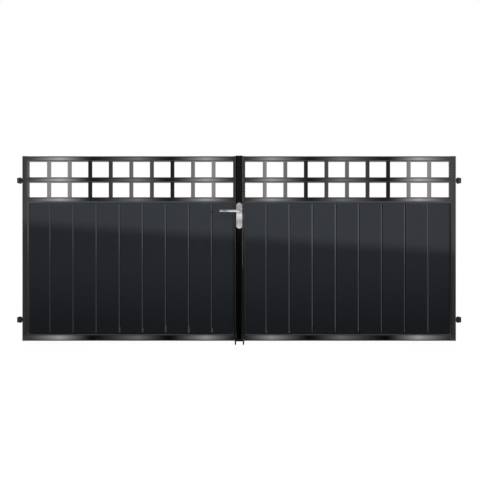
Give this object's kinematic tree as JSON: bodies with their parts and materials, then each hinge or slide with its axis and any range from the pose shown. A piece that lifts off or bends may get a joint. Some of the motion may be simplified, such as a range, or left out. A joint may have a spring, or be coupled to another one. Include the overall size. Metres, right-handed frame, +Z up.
{
  "type": "double driveway gate",
  "caption": "Double-leaf steel driveway gate with a square lattice over vertical boards, a central lock post with lever handles, side hinges and drop bolts.",
  "frame": {"origin": "on the gate's centre line, in the middle of its depth, at the height of the lowered drop bolts' tips", "axes": "+X along the gate to the viewer's right, +Y to the back, the way the leaves open, +Z up"},
  "size_m": [3.583, 0.169, 1.534],
  "materials": {
    "black_paint": "gloss black powder coat",
    "board_paint": "satin anthracite coat",
    "post_paint": "satin black powder coat",
    "zinc": "bright zinc plate",
    "dark_zinc": "black passivated",
    "stainless": "satin brushed",
    "brass": "satin nickel over brass",
    "rubber": "black rubber"
  },
  "bodies": {
    "root": {"bracket_upper_left": "black_paint", "bracket_lower_left": "black_paint", "bracket_upper_right": "black_paint", "bracket_lower_right": "black_paint", "hinge_pins": "dark_zinc", "pin_clips": "dark_zinc"},
    "left_leaf": {"left_hinge_stile": "black_paint", "left_meeting_stile": "black_paint", "left_top_rail": "black_paint", "left_lattice_rail": "black_paint", "left_infill_rail": "black_paint", "left_bottom_rail": "black_paint", "left_lattice_bars": "black_paint", "left_infill_channels": "board_paint", "left_boards": "board_paint", "left_eye_bolts": "dark_zinc", "left_hinge_nuts": "dark_zinc", "left_hinge_bushes": "zinc", "left_tube_plugs": "black_paint", "left_bolt_guides": "black_paint", "joint_strip": "post_paint", "lock_post": "post_paint", "post_caps": "post_paint", "closing_seal": "rubber", "lock_case": "zinc", "lock_faceplate": "dark_zinc", "cylinder_body": "brass", "front_handle_plate": "stainless", "back_handle_plate": "stainless", "lock_screws": "stainless"},
    "right_leaf": {"right_hinge_stile": "black_paint", "right_meeting_stile": "black_paint", "right_top_rail": "black_paint", "right_lattice_rail": "black_paint", "right_infill_rail": "black_paint", "right_bottom_rail": "black_paint", "right_lattice_bars": "black_paint", "right_infill_channels": "board_paint", "right_boards": "board_paint", "right_eye_bolts": "dark_zinc", "right_hinge_nuts": "dark_zinc", "right_hinge_bushes": "zinc", "right_tube_plugs": "black_paint", "right_bolt_guides": "black_paint", "keep_plate": "stainless"},
    "handle": {"handle_hub": "zinc", "spindle": "zinc", "front_lever": "stainless", "back_lever": "stainless"},
    "latch": {"latch_bolt": "stainless"},
    "key_rotor": {"cylinder_plug": "brass"},
    "dead_bolt": {"dead_bolt": "stainless"},
    "left_drop_bolt": {"left_drop_bolt": "dark_zinc"},
    "right_drop_bolt": {"right_drop_bolt": "dark_zinc"}
  },
  "joints": [
    {"name": "left_leaf_swing", "type": "hinge", "parent": "root", "child": "left_leaf", "pos_m": [-1.771, 0, 0], "axis": [0, 0, 1], "range_deg": [0, 90]},
    {"name": "right_leaf_swing", "type": "hinge", "parent": "root", "child": "right_leaf", "pos_m": [1.771, 0, 0], "axis": [0, 0, -1], "range_deg": [0, 90]},
    {"name": "handle_turn", "type": "hinge", "parent": "left_leaf", "child": "handle", "pos_m": [0, 0, 1.086], "axis": [0, -1, 0], "range_deg": [0, 45], "stiffness_Nm_per_rad": 1.5, "springref_deg": -45.84},
    {"name": "latch_slide", "type": "slide", "parent": "left_leaf", "child": "latch", "axis": [-1, 0, 0], "range_m": [0, 0.012]},
    {"name": "key_turn", "type": "hinge", "parent": "left_leaf", "child": "key_rotor", "pos_m": [0, 0, 0.994], "axis": [0, 1, 0], "range_deg": [0, 360]},
    {"name": "dead_bolt_slide", "type": "slide", "parent": "left_leaf", "child": "dead_bolt", "axis": [1, 0, 0], "range_m": [0, 0.018]},
    {"name": "left_bolt_lift", "type": "slide", "parent": "left_leaf", "child": "left_drop_bolt", "axis": [0, 0, 1], "range_m": [0, 0.15]},
    {"name": "right_bolt_lift", "type": "slide", "parent": "right_leaf", "child": "right_drop_bolt", "axis": [0, 0, 1], "range_m": [0, 0.15]}
  ],
  "couplings": [
    {"joint": "latch_slide", "follows": "handle_turn", "m_per_rad": 0.015278},
    {"joint": "key_turn", "follows": "dead_bolt_slide", "rad_per_m": 349.07}
  ]
}
